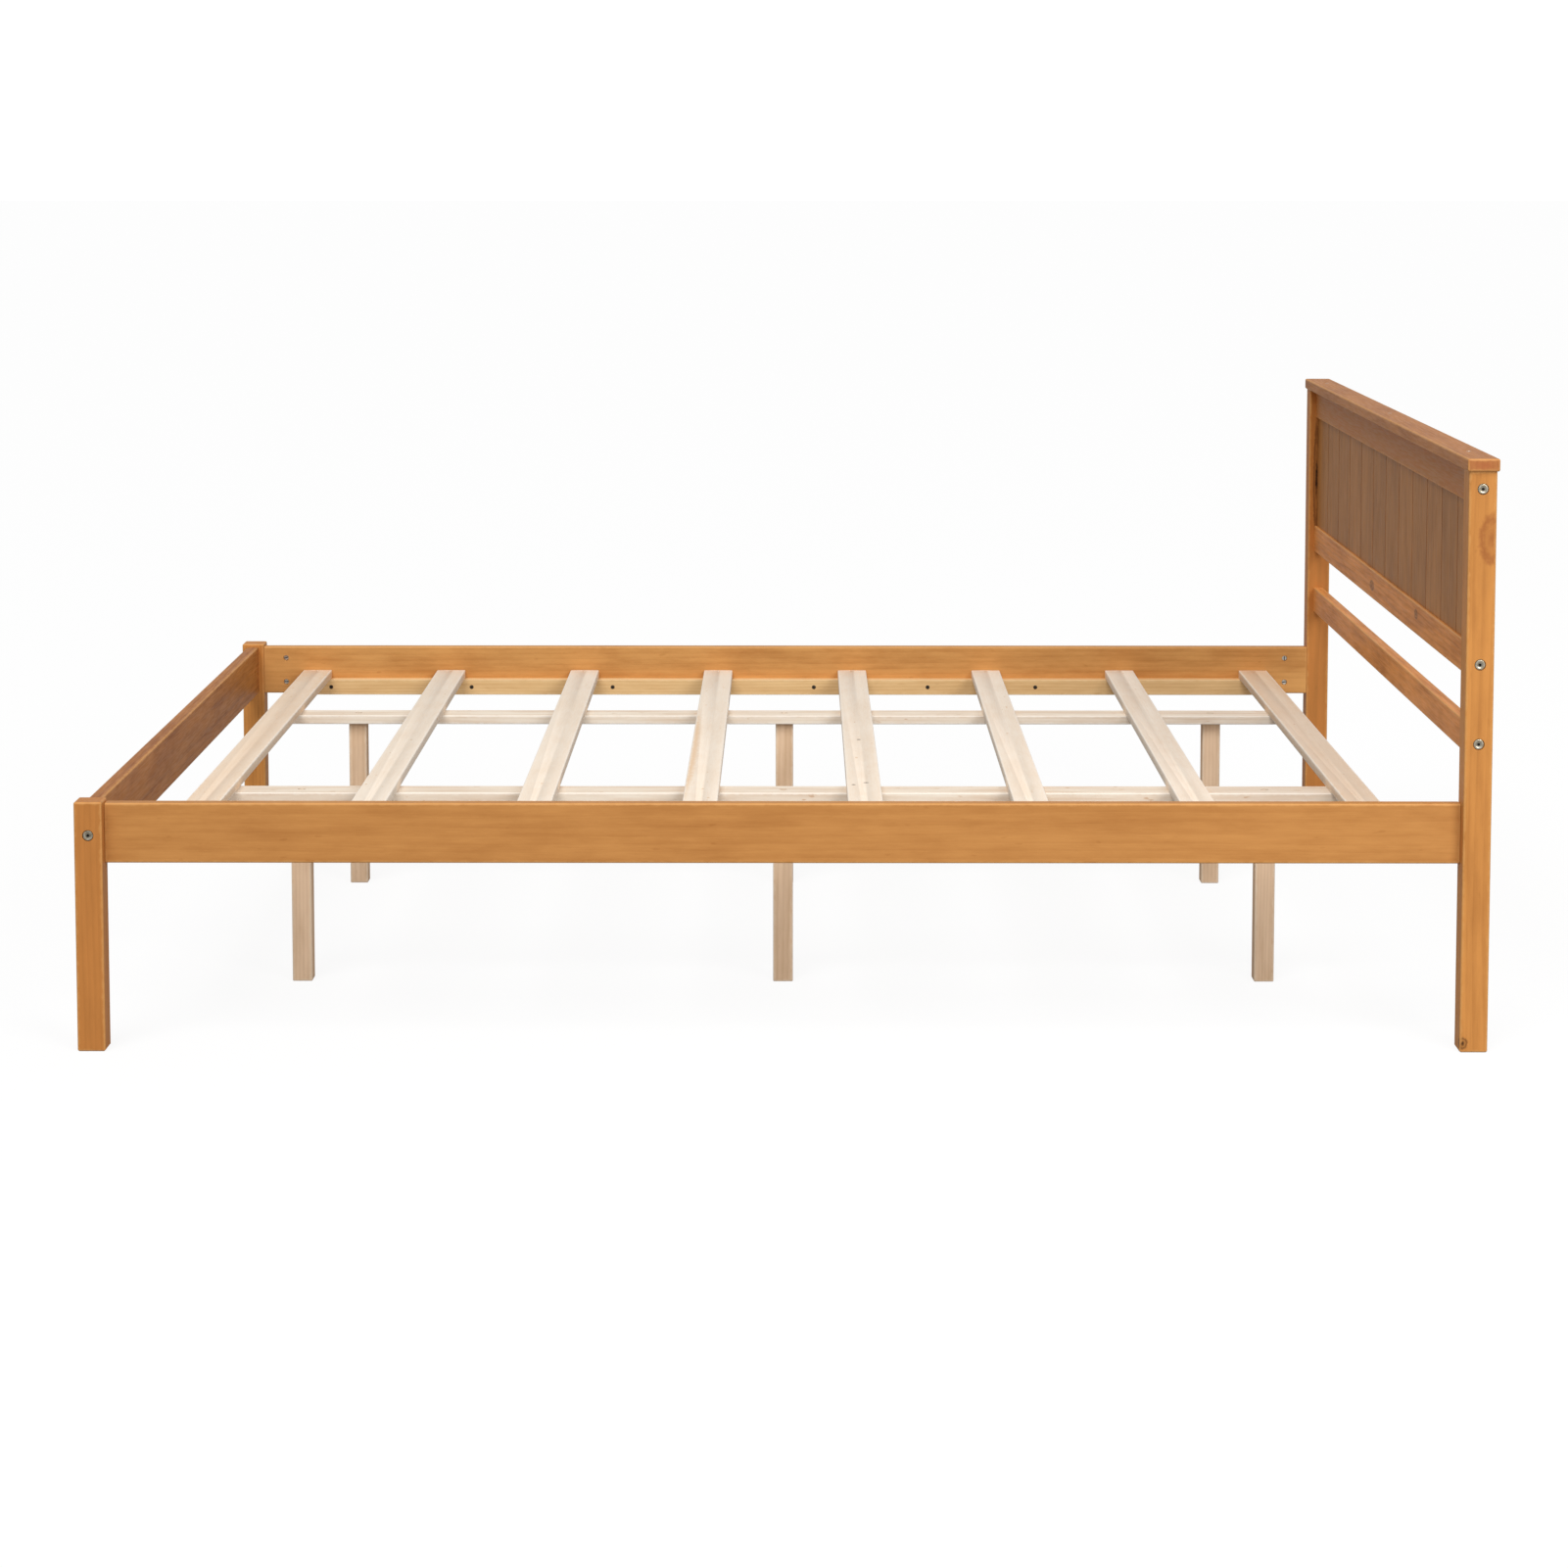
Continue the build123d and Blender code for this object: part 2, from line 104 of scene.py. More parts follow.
def timber_group():
    """Pine with its grain along Z: annual rings round a pith, long streaks, fine fibre and blotchy stain."""
    tree, given, out = shader_group("pine_figure", {
        "Vector": Vector((0, 0, 0)), "Early Wood": (0.6, 0.3, 0.1, 1.0), "Late Wood": (0.4, 0.2, 0.05, 1.0),
        "Ring Gap": 0.006, "Ring Strength": 0.3, "Streak Strength": 0.4, "Blotch Strength": 0.3,
        "Fibre Strength": 0.2, "Speck Strength": 0.25, "Roughness Low": 0.4, "Roughness High": 0.5,
    }, {"Color": tuple, "Roughness": float, "Height": float})
    place = given["Vector"]
    slow = vector_of(tree, "MULTIPLY", place, (1.0, 1.0, 0.08))
    sway = add(tree, "ShaderNodeTexNoise", {"Vector": slow, "Scale": 9.0, "Detail": 2.0})
    sway = vector_of(tree, "SUBTRACT", sway.outputs["Color"], (0.5, 0.5, 0.5))
    sway = vector_of(tree, "MULTIPLY", sway, (0.035, 0.035, 0.0))
    bent = vector_of(tree, "ADD", slow, sway)
    ring_scale = sum_of(tree, "DIVIDE", pi / 10, given["Ring Gap"])
    saw = add(tree, "ShaderNodeTexWave", {"Vector": bent, "Scale": ring_scale, "Distortion": 0.0},
              wave_type="RINGS", rings_direction="Z", wave_profile="SAW")
    late = ramp_of(tree, saw.outputs["Fac"], 0.35, 0.95)
    wide = vector_of(tree, "MULTIPLY", place, (1.0, 1.0, 0.10))
    streak = add(tree, "ShaderNodeTexNoise", {"Vector": wide, "Scale": 62.0, "Detail": 4.0})
    streak = ramp_of(tree, streak.outputs["Fac"], 0.36, 0.70)
    narrow = vector_of(tree, "MULTIPLY", place, (1.0, 1.0, 0.05))
    fibre = add(tree, "ShaderNodeTexNoise", {"Vector": narrow, "Scale": 420.0, "Detail": 3.0})
    fibre = ramp_of(tree, fibre.outputs["Fac"], 0.35, 0.7)
    cloud = vector_of(tree, "MULTIPLY", place, (1.0, 1.0, 0.3))
    cloud = add(tree, "ShaderNodeTexNoise", {"Vector": cloud, "Scale": 18.0, "Detail": 8.0, "Roughness": 0.68})
    cloud = ramp_of(tree, cloud.outputs["Fac"], 0.36, 0.68)
    short = vector_of(tree, "MULTIPLY", place, (1.0, 1.0, 0.35))
    speck = add(tree, "ShaderNodeTexNoise", {"Vector": short, "Scale": 110.0, "Detail": 1.0})
    speck = ramp_of(tree, speck.outputs["Fac"], 0.72, 0.80)
    share = sum_of(tree, "MULTIPLY", late, given["Ring Strength"])
    share = sum_of(tree, "MULTIPLY_ADD", streak, given["Streak Strength"], share)
    share = sum_of(tree, "MULTIPLY_ADD", cloud, given["Blotch Strength"], share)
    share = sum_of(tree, "MULTIPLY_ADD", speck, given["Speck Strength"], share)
    share = sum_of(tree, "MULTIPLY_ADD", fibre, given["Fibre Strength"], share, clamp=True)
    tree.links.new(blend_of(tree, share, given["Early Wood"], given["Late Wood"]), out["Color"])
    rough = add(tree, "ShaderNodeMapRange", {
        "Value": fibre, "To Min": given["Roughness Low"], "To Max": given["Roughness High"]})
    tree.links.new(rough.outputs["Result"], out["Roughness"])
    relief = sum_of(tree, "MULTIPLY_ADD", late, 0.6, fibre)
    tree.links.new(relief, out["Height"])
    return tree


def arris_group():
    """Mask of the long arrises of a straight piece whose corners are given: 1 on the arris, 0 inside."""
    tree, given, out = shader_group("arris_mask", {
        "Vector": Vector((0, 0, 0)), "Low Corner": Vector((0, 0, 0)), "High Corner": Vector((1, 1, 1)),
        "Width": 0.004,
    }, {"Mask": float})
    above = vector_of(tree, "SUBTRACT", given["Vector"], given["Low Corner"])
    below = vector_of(tree, "SUBTRACT", given["High Corner"], given["Vector"])
    inside = vector_of(tree, "MINIMUM", above, below)
    x, y, z = add(tree, "ShaderNodeSeparateXYZ", {0: inside}).outputs
    least = sum_of(tree, "MINIMUM", sum_of(tree, "MINIMUM", x, y), z)
    total = sum_of(tree, "ADD", sum_of(tree, "ADD", x, y), z)
    most = sum_of(tree, "MAXIMUM", sum_of(tree, "MAXIMUM", x, y), z)
    second = sum_of(tree, "SUBTRACT", sum_of(tree, "SUBTRACT", total, least), most)
    ragged = add(tree, "ShaderNodeTexNoise", {"Vector": given["Vector"], "Scale": 90.0, "Detail": 2.0})
    reach = sum_of(tree, "MULTIPLY", ragged.outputs["Fac"], sum_of(tree, "MULTIPLY", given["Width"], 2.0))
    share = sum_of(tree, "DIVIDE", second, reach)
    tree.links.new(sum_of(tree, "SUBTRACT", 1.0, share, clamp=True), out["Mask"])
    return tree


def knot_group():
    """A knot, or a strip of painted shade, laid over a colour: a soft body, a darker ring, an eye as dark as
    Eye says.
    """
    tree, given, out = shader_group("knot", {
        "Vector": Vector((0, 0, 0)), "Color": (0.5, 0.3, 0.1, 1.0), "Knot Color": (0.1, 0.03, 0.01, 1.0),
        "Place": Vector((0, 0, 0)), "Half Size": Vector((0.01, 0.01, 0.01)), "Eye": 0.5,
    }, {"Color": tuple})
    away = vector_of(tree, "DIVIDE", vector_of(tree, "SUBTRACT", given["Vector"], given["Place"]),
                     given["Half Size"])
    ragged = add(tree, "ShaderNodeTexNoise", {"Vector": given["Vector"], "Scale": 160.0, "Detail": 3.0})
    distance = sum_of(tree, "MULTIPLY_ADD", ragged.outputs["Fac"], 0.5, vector_of(tree, "LENGTH", away))
    distance = sum_of(tree, "SUBTRACT", distance, 0.25)
    eye = sum_of(tree, "SUBTRACT", 1.0, ramp_of(tree, distance, 0.0, 0.6))
    body = sum_of(tree, "SUBTRACT", 1.0, ramp_of(tree, distance, 0.8, 1.25))
    ring = sum_of(tree, "MULTIPLY", body, ramp_of(tree, distance, 0.45, 0.85))
    share = sum_of(tree, "MULTIPLY_ADD", eye, given["Eye"], sum_of(tree, "MULTIPLY", body, 0.25))
    share = sum_of(tree, "MULTIPLY_ADD", ring, 0.35, share, clamp=True)
    tree.links.new(blend_of(tree, share, given["Color"], given["Knot Color"]), out["Color"])
    return tree


pine_figure = timber_group()
arris_mask = arris_group()
knot_and_shade_mark = knot_group()

# Turns that bring the grain of a piece lying along X, Y or Z onto the figure's own Z
grain_turn = {"x": (0.0, -pi / 2, 0.0), "y": (pi / 2, 0.0, 0.0), "z": (0.0, 0.0, 0.0)}


def pine(name, grain, corners, early, late, pith, knots_and_painted_shade=(), edge=None, tone=0.0, figure=(), lacquer=0.06,
         gloss=0.12, relief=0.15):
    """Pine material. Pith is how far the log's heart lies from the piece, and corners are its box.

    Each knot, stain and strip of painted shade is its place, half size, colour and how dark its eye is.
    """
    material = bpy.data.materials.new(name)
    material.use_nodes = True
    tree = material.node_tree
    shader = tree.nodes["Principled BSDF"]
    where = add(tree, "ShaderNodeTexCoord").outputs["Object"]
    turned_to = add(tree, "ShaderNodeMapping", {
        "Vector": where, "Location": pith, "Rotation": grain_turn[grain]}).outputs[0]
    place_on_piece = where
    if tone:
        shift = add(tree, "ShaderNodeAttribute", attribute_name="tone").outputs["Fac"]
        move = add(tree, "ShaderNodeCombineXYZ", {0: sum_of(tree, "MULTIPLY", shift, 0.37),
                                                  1: sum_of(tree, "MULTIPLY", shift, 0.23),
                                                  2: sum_of(tree, "MULTIPLY", shift, 3.1)}).outputs[0]
        turned_to = vector_of(tree, "ADD", turned_to, move)
        place_on_piece = add(tree, "ShaderNodeAttribute", attribute_name="local").outputs["Vector"]
    settings = {"Vector": turned_to, "Early Wood": (*early, 1.0), "Late Wood": (*late, 1.0)}
    settings.update(figure)
    wood = add(tree, "ShaderNodeGroup", node_tree=pine_figure)
    for key, value in settings.items():
        if isinstance(value, bpy.types.NodeSocket):
            tree.links.new(value, wood.inputs[key])
        else:
            wood.inputs[key].default_value = value
    colour = wood.outputs["Color"]
    if tone:
        level = add(tree, "ShaderNodeMapRange", {"Value": shift, "To Min": 1.0 - tone, "To Max": 1.0 + tone})
        level = level.outputs["Result"]
        grey = add(tree, "ShaderNodeCombineColor", {0: level, 1: level, 2: level}).outputs[0]
        colour = blend_of(tree, 1.0, colour, grey, "MULTIPLY")
    for place, half_size, knot_colour, eye in knots_and_painted_shade:
        group = add(tree, "ShaderNodeGroup", node_tree=knot_and_shade_mark)
        tree.links.new(where, group.inputs["Vector"])
        tree.links.new(colour, group.inputs["Color"])
        group.inputs["Knot Color"].default_value = (*knot_colour, 1.0)
        group.inputs["Place"].default_value = place
        group.inputs["Half Size"].default_value = half_size
        group.inputs["Eye"].default_value = eye
        colour = group.outputs["Color"]
    if edge:
        mask = add(tree, "ShaderNodeGroup", node_tree=arris_mask)
        tree.links.new(place_on_piece, mask.inputs["Vector"])
        mask.inputs["Low Corner"].default_value = corners[0]
        mask.inputs["High Corner"].default_value = corners[1]
        colour = blend_of(tree, mask.outputs["Mask"], colour, (*edge, 1.0))
    tree.links.new(colour, shader.inputs["Base Color"])
    tree.links.new(wood.outputs["Roughness"], shader.inputs["Roughness"])
    bump = add(tree, "ShaderNodeBump", {
        "Height": wood.outputs["Height"], "Strength": relief, "Distance": 0.3 * mm})
    tree.links.new(bump.outputs[0], shader.inputs["Normal"])
    shader.inputs["Specular IOR Level"].default_value = gloss
    shader.inputs["Coat Weight"].default_value = lacquer
    shader.inputs["Coat Roughness"].default_value = 0.32
    return material


def dress(node, material):
    """Gives a CAD node its material in place of the one that it came with."""
    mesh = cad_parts[node].data
    mesh.materials.clear()
    mesh.materials.append(material)


honey = (0.605, 0.275, 0.080)
honey_dark = (0.42, 0.165, 0.04)
honey_edge = (0.68, 0.34, 0.11)
knot_red = (0.30, 0.085, 0.025)
knot_and_shade_black = (0.03, 0.012, 0.006)
satin = {"Roughness Low": 0.36, "Roughness High": 0.5}

post_outside = -0.814
post_inside = 0.772
posts = {
    "foot_post_right": ((0.05, 0.83, 0.3), (0.58, 0.228, 0.057), ()),
    "foot_post_left": ((0.09, -0.70, 1.3), (0.68, 0.29, 0.075), ()),
    "head_post_left": ((-1.01, -0.72, 2.6), (0.59, 0.222, 0.054), (
        # A dark strip of painted shade on the inner face, in the recess beside the ends of the headboard
        # boards
        ((1.0290, post_inside, 0.706), (0.0060, 0.010, 0.108), knot_and_shade_black, 0.8),
    )),
    "head_post_right": ((-1.09, 0.88, 3.7), (0.655, 0.280, 0.072), (
        ((1.050, post_outside, 0.775), (0.019, 0.020, 0.036), knot_red, 0.35),
        ((1.019, post_outside, 0.014), (0.007, 0.012, 0.009), knot_and_shade_black, 0.7),
    )),
}
for node, (pith, early, knots_and_painted_shade) in posts.items():
    dress(node, pine(node, "z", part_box(node), early, honey_dark, pith, knots_and_painted_shade, honey_edge, figure={
        **satin, "Ring Gap": 0.007, "Ring Strength": 0.20, "Streak Strength": 0.28, "Blotch Strength": 0.30,
        "Fibre Strength": 0.10}))

# ---- Side rails ------------------------------------------------------------------------------
# Two long boards on edge, bolted between the posts and set back from their outer faces. Stained
# and lacquered like the posts, with the grain along the rail and paler stain on the arrises.
side_rails = {
    "side_rail_right": ((0.4, 0.86, -0.25), honey),
    "side_rail_left": ((2.9, -0.71, -0.39), (0.70, 0.35, 0.112)),
}
for node, (pith, early) in side_rails.items():
    dress(node, pine(node, "x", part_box(node), early, honey_dark, pith, edge=honey_edge, figure={
        **satin, "Ring Gap": 0.010, "Ring Strength": 0.12, "Streak Strength": 0.22, "Blotch Strength": 0.40,
        "Fibre Strength": 0.10}))

# ---- Foot rail -------------------------------------------------------------------------------
# The same board across the foot, between the two short posts, held by a bolt and dowels at each
# end. It is coloured darker and redder than the side rails, as painted shade on its inner face.
# Darker, redder colours: painted shade for the rail's inner face
foot_rail_wood_with_painted_shade = pine("foot_rail", "y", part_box("foot_rail"), (0.52, 0.205, 0.050), (0.30, 0.10, 0.024),
                      (1.11, 0.35, 0.2), edge=honey_edge, figure={
                          **satin, "Ring Gap": 0.009, "Streak Strength": 0.35, "Blotch Strength": 0.4})
dress("foot_rail", foot_rail_wood_with_painted_shade)

# ---- Headboard rails -------------------------------------------------------------------------
# Three rails between the tall posts: a top and a bottom one, grooved for the boards, and a lower
# one that stands free. Their stain took darker than on the posts.
umber = (0.86, 0.350, 0.094)
umber_dark = (0.50, 0.180, 0.044)
headboard_front = 1.0265
headboard_rails = {
    "headboard_top_rail": ((-1.09, 0.92, 0.4), (0.48, 0.205, 0.060), ()),
    "headboard_bottom_rail": ((-0.98, 0.52, 1.7), umber, (
        ((headboard_front, 0.10, 0.585), (0.010, 0.020, 0.009), knot_and_shade_black, 0.5),
        ((headboard_front, -0.33, 0.595), (0.010, 0.014, 0.008), knot_and_shade_black, 0.5),
    )),
    "headboard_lower_rail": ((-1.10, 0.44, 2.2), umber, ()),
}
for node, (pith, early, knots_and_painted_shade) in headboard_rails.items():
    dress(node, pine(node, "y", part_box(node), early, umber_dark, pith, knots_and_painted_shade, honey_edge, figure={
        **satin, "Ring Gap": 0.008, "Ring Strength": 0.25, "Streak Strength": 0.35, "Blotch Strength": 0.4}))

# ---- Headboard boards ------------------------------------------------------------------------
# Twelve thin upright boards, tongued and grooved, with a small vee along each front edge. They
# stand in the grooves of the rails and are stained like them.


def outline_bar(name, outline, low, high):
    """A straight bar along Z with a given outline in X and Y, as a closed mesh."""
    mesh = bpy.data.meshes.new(name)
    shape = bmesh.new()
    base = [shape.verts.new((x, y, low)) for x, y in outline]
    top = [shape.verts.new((x, y, high)) for x, y in outline]
    shape.faces.new(base[::-1])
    shape.faces.new(top)
    for n in range(len(outline)):
        m = (n + 1) % len(outline)
        shape.faces.new((base[n], base[m], top[m], top[n]))
    bmesh.ops.recalc_face_normals(shape, faces=shape.faces)
    shape.to_mesh(mesh)
    shape.free()
    return mesh


def geometry_group(name, inputs):
    """An empty geometry tree with its sockets. Returns the tree, its input node and its output node."""
    tree = bpy.data.node_groups.new(name, "GeometryNodeTree")
    for label, kind in {"Geometry": "Geometry", **inputs}.items():
        tree.interface.new_socket(label, in_out="INPUT", socket_type=f"NodeSocket{kind}")
    tree.interface.new_socket("Geometry", in_out="OUTPUT", socket_type="NodeSocketGeometry")
    return tree, tree.nodes.new("NodeGroupInput").outputs, tree.nodes.new("NodeGroupOutput").inputs


def keep_local(tree, geometry):
    """Stores each point's place on its own piece, before the piece is repeated."""
    position = add(tree, "GeometryNodeInputPosition").outputs[0]
    return add(tree, "GeometryNodeStoreNamedAttribute", {
        "Geometry": geometry, "Name": "local", "Value": position}, data_type="FLOAT_VECTOR").outputs[0]


def finish_copies(tree, copies, given, out):
    """Stores a tone for each copy, makes the copies real and gives them their material."""
    chance = add(tree, "FunctionNodeRandomValue", {"Seed": given["Seed"]}).outputs[1]
    toned = add(tree, "GeometryNodeStoreNamedAttribute", {
        "Geometry": copies, "Name": "tone", "Value": chance}, data_type="FLOAT", domain="INSTANCE").outputs[0]
    solid = add(tree, "GeometryNodeRealizeInstances", {"Geometry": toned}).outputs[0]
    made = add(tree, "GeometryNodeSetMaterial", {"Geometry": solid, "Material": given["Material"]}).outputs[0]
    tree.links.new(made, out["Geometry"])


def row_tree():
    """Repeats a piece in a straight row."""
    tree, given, out = geometry_group("pieces_in_a_row", {
        "Count": "Int", "First Place": "Vector", "Step": "Vector", "Seed": "Int", "Material": "Material"})
    line = add(tree, "GeometryNodeMeshLine", {
        "Count": given["Count"], "Start Location": given["First Place"], "Offset": given["Step"]}).outputs[0]
    piece = keep_local(tree, given["Geometry"])
    copies = add(tree, "GeometryNodeInstanceOnPoints", {"Points": line, "Instance": piece}).outputs[0]
    finish_copies(tree, copies, given, out)
    return tree


def repeated(name, mesh, tree, nodes, values):
    """Runs a geometry tree on one piece's mesh and keeps the result as a plain mesh for these nodes."""
    piece = bpy.data.objects.new(name, mesh)
    scene.collection.objects.link(piece)
    modifier = piece.modifiers.new(tree.name, "NODES")
    modifier.node_group = tree
    keys = {item.name: item.identifier for item in tree.interface.items_tree if item.in_out == "INPUT"}
    for label, value in values.items():
        modifier[keys[label]] = value
    bpy.context.view_layer.update()
    graph = bpy.context.evaluated_depsgraph_get()
    made = bpy.data.meshes.new_from_object(
        piece.evaluated_get(graph), preserve_all_data_layers=True, depsgraph=graph)
    piece.modifiers.remove(modifier)
    piece.data = made
    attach(piece, "root")
    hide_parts(*nodes)
    return piece


pieces_in_a_row = row_tree()

board_nodes = [f"headboard_board_{n:02d}" for n in range(1, 13)]
board_low, board_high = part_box(board_nodes[1])
next_board_low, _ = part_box(board_nodes[2])
first_board_low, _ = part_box(board_nodes[0])
board_thickness = board_high.x - board_low.x
board_step = next_board_low.y - board_low.y
board_joint = 0.4 * mm
board_width = board_step - board_joint
board_vee = 2 * mm
tongue_reach = 4.5 * mm
tongue_half = 1.3 * mm
groove_half = 1.5 * mm
groove_depth = 4.7 * mm
front, back = -board_thickness / 2, board_thickness / 2
right, left = -board_width / 2, board_width / 2
board_outline = (
    (front, right + board_vee), (front + board_vee, right), (-groove_half, right),
    (-groove_half, right + groove_depth), (groove_half, right + groove_depth), (groove_half, right),
    (back, right), (back, left), (tongue_half, left), (tongue_half, left + tongue_reach),
    (-tongue_half, left + tongue_reach), (-tongue_half, left), (front + board_vee, left),
    (front, left - board_vee),
)
board_wood = pine("headboard_boards", "z", (Vector((front, right, -1.0)), Vector((back, left, 2.0))),
                  (0.50, 0.220, 0.062), (0.30, 0.122, 0.032), (-0.92, 0.3, 0.1), edge=(0.26, 0.10, 0.035),
                  tone=0.06, figure={**satin, "Ring Gap": 0.005, "Ring Strength": 0.15,
                                     "Streak Strength": 0.25, "Blotch Strength": 0.45, "Fibre Strength": 0.15})
board_mesh = outline_bar("board", board_outline, board_low.z, board_high.z)
repeated("headboard_boards", board_mesh, pieces_in_a_row, board_nodes, {
    "Count": len(board_nodes),
    "First Place": ((board_low.x + board_high.x) / 2, first_board_low.y + board_width / 2, 0.0),
    "Step": (0.0, board_step, 0.0), "Seed": 4, "Material": board_wood})

# ---- Headboard cap ---------------------------------------------------------------------------
# A flat board laid on the posts and the top rail, a little proud of them all round, with every
# edge rounded. It is screwed down from above.
cap_low, cap_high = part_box("headboard_cap")
cap_middle = (cap_low + cap_high) / 2
cap_ends = [((cap_middle.x, y, cap_middle.z), (0.040, 0.004, 0.020), (0.42, 0.130, 0.045), 0.6)
            for y in (cap_low.y, cap_high.y)]
dress("headboard_cap", pine("headboard_cap", "y", (cap_low, cap_high), (0.56, 0.235, 0.074),
                            (0.36, 0.135, 0.042), (-1.12, 0.9, 0.7), cap_ends, honey_edge, figure={
                                **satin, "Ring Gap": 0.008, "Streak Strength": 0.35, "Blotch Strength": 0.35}))

# ---- Slat cleats -----------------------------------------------------------------------------
# Square battens screwed along the inside of the side rails, level with their lower edge, to carry
# the slat ends. They are stained, but only thinly.
for node, pith in {"slat_cleat_right": (0.9, 0.80, -0.31), "slat_cleat_left": (2.4, -0.74, -0.30)}.items():
    dress(node, pine(node, "x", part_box(node), (0.88, 0.59, 0.29), (0.70, 0.42, 0.18), pith,
                     edge=(0.88, 0.62, 0.34), figure={
                         **satin, "Ring Gap": 0.006, "Streak Strength": 0.35, "Blotch Strength": 0.35}))

# ---- Slats -----------------------------------------------------------------------------------
# Eight planed softwood slats, left bare, across the bed on the cleats. Long edges are rounded,
# ends eased, and each end has a countersunk hole for its screw.


def eased_block(name, low, high, radius, steps=3):
    """A straight block with all its edges rounded, as a closed mesh. Only the roundings are smooth."""
    mesh = bpy.data.meshes.new(name)
    shape = bmesh.new()
    bmesh.ops.create_cube(shape, size=1.0)
    for vert in shape.verts:
        vert.co = Vector(low[k] if vert.co[k] < 0 else high[k] for k in range(3))
    bmesh.ops.bevel(shape, geom=shape.edges[:], offset=radius, segments=steps, profile=0.5, affect="EDGES")
    for face in shape.faces:
        face.smooth = min(edge.calc_length() for edge in face.edges) < radius
    shape.to_mesh(mesh)
    shape.free()
    mesh.set_sharp_from_angle(angle=radians(40))
    return mesh


def turned(name, rings, sides=48):
    """A closed turned shape along Z. Each ring is its outline, a radius for any angle, and its height."""
    mesh = bpy.data.meshes.new(name)
    shape = bmesh.new()
    loops = []
    for outline, height in rings:
        angles = [2 * pi * n / sides for n in range(sides)]
        loops.append([shape.verts.new((outline(a) * cos(a), outline(a) * sin(a), height)) for a in angles])
    shape.faces.new(loops[0])
    shape.faces.new(loops[-1])
    for lower, upper in zip(loops, loops[1:]):
        for n in range(sides):
            m = (n + 1) % sides
            shape.faces.new((lower[n], lower[m], upper[m], upper[n]))
    bmesh.ops.recalc_face_normals(shape, faces=shape.faces)
    for face in shape.faces:
        face.smooth = True
    shape.to_mesh(mesh)
    shape.free()
    mesh.set_sharp_from_angle(angle=radians(35))
    return mesh


def circle(diameter):
    return lambda angle: diameter / 2


def bored(mesh, holes):
    """The mesh with holes cut in it. Each hole is a closed mesh and where it goes."""
    piece = bpy.data.objects.new(mesh.name, mesh)
    scene.collection.objects.link(piece)
    drills = []
    for hole, place in holes:
        drill = bpy.data.objects.new("drill", hole)
        drill.location = place
        scene.collection.objects.link(drill)
        cut = piece.modifiers.new("hole", "BOOLEAN")
        cut.object = drill
        cut.solver = "EXACT"
        drills.append(drill)
    bpy.context.view_layer.update()
    graph = bpy.context.evaluated_depsgraph_get()
    made = bpy.data.meshes.new_from_object(piece.evaluated_get(graph), depsgraph=graph)
    for drill in (*drills, piece):
        bpy.data.objects.remove(drill)
    return made


bare = (0.91, 0.80, 0.675)
bare_dark = (0.77, 0.58, 0.41)
bare_edge = (0.92, 0.84, 0.74)
rough_sawn = {"Roughness Low": 0.6, "Roughness High": 0.78}
slat_nodes = [f"slat_{n}" for n in range(1, 9)]
slat_low, slat_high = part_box("slat_1")
second_slat_low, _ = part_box("slat_2")
slat_middle = (slat_low + slat_high) / 2
slat_half = (slat_high - slat_low) / 2
slat_step = second_slat_low.x - slat_low.x
tan = (0.76, 0.47, 0.24)
slat_top = 0.3285
slat_marks = (
    ((slat_middle.x, 0.0, slat_top), (0.05, 1.3, 0.04), tan, 0.10),
    ((slat_middle.x + (len(slat_nodes) - 1) * slat_step, -0.1, slat_top), (0.05, 1.1, 0.04), tan, 0.0),
    ((-0.172, -0.10, slat_top), (0.024, 0.46, 0.02), tan, 0.3),
    ((0.1122, -0.4078, slat_top), (0.003, 0.005, 0.004), knot_and_shade_black, 0.8),
    ((0.1326, -0.3903, slat_top), (0.004, 0.005, 0.004), knot_and_shade_black, 0.8),
    ((0.1279, 0.0039, slat_top), (0.003, 0.006, 0.004), knot_and_shade_black, 0.6),
)
slat_wood = pine("slats", "y", (-slat_half, slat_half), bare, bare_dark, (0.2, 0.04, 0.0),
                 slat_marks, bare_edge, tone=0.035, lacquer=0.0, relief=0.2, figure={
                     **rough_sawn, "Ring Gap": 0.012, "Ring Strength": 0.03, "Streak Strength": 0.05,
                     "Blotch Strength": 0.28, "Fibre Strength": 0.14, "Speck Strength": 0.9})
slat_edge_radius = 1.8 * mm
screw_from_slat_end = 10.0 * mm
slat_hole = turned("slat_hole", (
    (circle(8.7 * mm), 0.2 * mm), (circle(4.2 * mm), -2.2 * mm), (circle(4.2 * mm), -20.0 * mm)))
hole_reach = slat_half.y - screw_from_slat_end
slat_mesh = bored(eased_block("slat", -slat_half, slat_half, slat_edge_radius), [
    (slat_hole, (0.0, y, slat_half.z)) for y in (-hole_reach, hole_reach)])
repeated("slats", slat_mesh, pieces_in_a_row, slat_nodes, {
    "Count": len(slat_nodes), "First Place": slat_middle, "Step": (slat_step, 0.0, 0.0), "Seed": 11,
    "Material": slat_wood})

# ---- Centre beams ----------------------------------------------------------------------------
# Two flat softwood battens under the slats, from the first slat to the last, left bare. Each is
# held by screws from below and by the bolts of the legs that stand under it.
for node, pith in {"centre_beam_right": (0.3, 0.42, -0.27), "centre_beam_left": (1.9, -0.31, -0.26)}.items():
    dress(node, pine(node, "x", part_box(node), (0.91, 0.81, 0.68), (0.66, 0.46, 0.31), pith, edge=bare_edge,
                     lacquer=0.0, relief=0.2, figure={
                         **rough_sawn, "Ring Gap": 0.007, "Ring Strength": 0.18, "Streak Strength": 0.32,
                         "Blotch Strength": 0.20, "Fibre Strength": 0.10, "Speck Strength": 1.0}))

# ---- Support legs ----------------------------------------------------------------------------
# Six square softwood legs, left bare, three under each beam. Each stands on the floor and is
# pulled up to its beam by one bolt from above.


